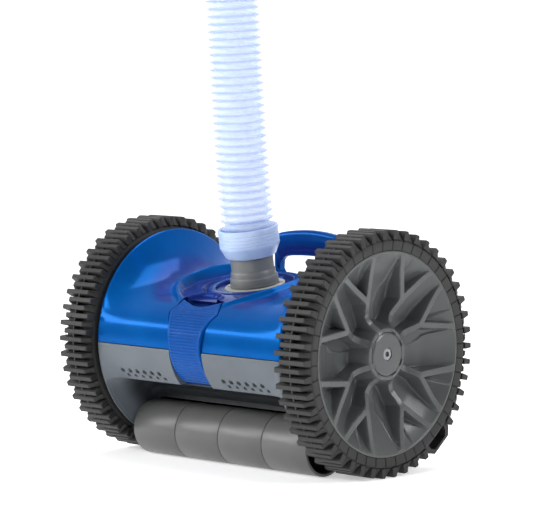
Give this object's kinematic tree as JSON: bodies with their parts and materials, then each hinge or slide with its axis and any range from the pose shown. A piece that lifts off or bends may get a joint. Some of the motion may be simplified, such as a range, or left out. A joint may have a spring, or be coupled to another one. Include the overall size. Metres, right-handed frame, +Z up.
{
  "type": "pool cleaner",
  "caption": "Suction pool cleaner: a round body between big rubber-tyred wheels, with a turbine gear drive, a split front roller, a latched hinged cover and a swivel hose.",
  "frame": {"origin": "on the floor, under the middle of the wheel axle", "axes": "+X along the wheel axle, +Z up, -Y towards the front, where the roller and the latch are"},
  "size_m": [0.3056, 0.214, 0.5172],
  "materials": {
    "cover_blue": "glossy moulded plastic",
    "latch_blue": "satin moulded plastic with grip ribs",
    "chassis_grey": "satin moulded plastic",
    "inner_grey": "moulded plastic",
    "wheel_grey": "satin moulded plastic",
    "tyre": "moulded rubber",
    "roller_grey": "satin moulded plastic",
    "swivel_grey": "satin moulded plastic",
    "ring_grey": "satin moulded plastic",
    "hose_clear": "translucent flexible plastic",
    "cuff_clear": "translucent soft plastic",
    "gear_acetal": "acetal",
    "bearing_white": "low-friction plastic",
    "rubber_black": "rubber",
    "steel": "stainless steel"
  },
  "bodies": {
    "chassis": {"lower_chassis": "chassis_grey", "suction_shoe": "inner_grey", "rear_skirt": "rubber_black", "shoe_screws": "steel", "turbine_housing": "inner_grey", "outlet_gasket": "rubber_black", "gearcase_right": "inner_grey", "gearcase_left": "inner_grey", "gearcase_lid_right": "inner_grey", "gearcase_lid_left": "inner_grey", "gearcase_screws": "steel", "axle_right": "steel", "axle_left": "steel", "axle_washers": "steel", "hub_screws": "steel", "gear_pins": "steel", "turbine_bearings": "bearing_white", "roller_axle": "steel", "roller_clips": "rubber_black", "latch_pin": "steel", "hinge_pin": "steel"},
    "cover": {"top_cover": "cover_blue", "carry_handle": "cover_blue", "handle_screws": "steel", "swivel_ring": "ring_grey", "swivel_bush": "bearing_white", "swivel_seal": "rubber_black"},
    "latch": {"latch": "latch_blue"},
    "swivel": {"swivel_tube": "swivel_grey", "lower_cuff": "cuff_clear", "hose": "hose_clear", "upper_cuff": "cuff_clear"},
    "right_wheel": {"wheel_right": "wheel_grey", "tyre_right": "tyre", "hub_cap_right": "wheel_grey", "wheel_bush_right": "bearing_white", "drive_gear_right": "gear_acetal"},
    "left_wheel": {"wheel_left": "wheel_grey", "tyre_left": "tyre", "hub_cap_left": "wheel_grey", "wheel_bush_left": "bearing_white", "drive_gear_left": "gear_acetal"},
    "turbine": {"turbine_rotor": "gear_acetal", "turbine_shaft": "steel", "turbine_pinion": "gear_acetal"},
    "right_reduction": {"reduction_gear_right": "gear_acetal"},
    "left_clutch": {"clutch_pinion": "gear_acetal"},
    "left_reduction": {"reduction_gear_left": "gear_acetal"},
    "roller_a": {"roller_1": "roller_grey"},
    "roller_b": {"roller_2": "roller_grey"},
    "roller_c": {"roller_3": "roller_grey"},
    "roller_d": {"roller_4": "roller_grey"}
  },
  "joints": [
    {"name": "right_wheel_spin", "type": "hinge", "parent": "chassis", "child": "right_wheel", "pos_m": [0.135, 0, 0.107], "axis": [1, 0, 0], "continuous": true},
    {"name": "left_wheel_spin", "type": "hinge", "parent": "chassis", "child": "left_wheel", "pos_m": [-0.135, 0, 0.107], "axis": [1, 0, 0], "continuous": true},
    {"name": "turbine_spin", "type": "hinge", "parent": "chassis", "child": "turbine", "pos_m": [0, 0.014, 0.084], "axis": [1, 0, 0], "continuous": true},
    {"name": "right_reduction_spin", "type": "hinge", "parent": "chassis", "child": "right_reduction", "pos_m": [0.09, 0.0273, 0.09784], "axis": [1, 0, 0], "continuous": true},
    {"name": "left_clutch_spin", "type": "hinge", "parent": "chassis", "child": "left_clutch", "pos_m": [-0.088, 0.014, 0.084], "axis": [1, 0, 0], "continuous": true},
    {"name": "left_reduction_spin", "type": "hinge", "parent": "chassis", "child": "left_reduction", "pos_m": [-0.09, 0.0273, 0.09784], "axis": [1, 0, 0], "continuous": true},
    {"name": "roller_a_spin", "type": "hinge", "parent": "chassis", "child": "roller_a", "pos_m": [-0.081, -0.0324, 0.0252], "axis": [1, 0, 0], "continuous": true},
    {"name": "roller_b_spin", "type": "hinge", "parent": "chassis", "child": "roller_b", "pos_m": [-0.027, -0.0324, 0.0252], "axis": [1, 0, 0], "continuous": true},
    {"name": "roller_c_spin", "type": "hinge", "parent": "chassis", "child": "roller_c", "pos_m": [0.027, -0.0324, 0.0252], "axis": [1, 0, 0], "continuous": true},
    {"name": "roller_d_spin", "type": "hinge", "parent": "chassis", "child": "roller_d", "pos_m": [0.081, -0.0324, 0.0252], "axis": [1, 0, 0], "continuous": true},
    {"name": "cover_hinge", "type": "hinge", "parent": "chassis", "child": "cover", "pos_m": [0, 0.1005, 0.1055], "axis": [-1, 0, 0], "range_deg": [0, 75]},
    {"name": "latch_hinge", "type": "hinge", "parent": "chassis", "child": "latch", "pos_m": [0, -0.07247, 0.08035], "axis": [1, 0, 0], "range_deg": [0, 50]},
    {"name": "hose_swivel", "type": "hinge", "parent": "cover", "child": "swivel", "pos_m": [0, -0.0102, 0.159], "axis": [0, -0.1736, 0.9848], "continuous": true}
  ],
  "couplings": [
    {"joint": "right_reduction_spin", "follows": "right_wheel_spin", "ratio": -5},
    {"joint": "turbine_spin", "follows": "right_wheel_spin", "ratio": 15},
    {"joint": "left_reduction_spin", "follows": "left_wheel_spin", "ratio": -5},
    {"joint": "left_clutch_spin", "follows": "left_wheel_spin", "ratio": 15}
  ]
}
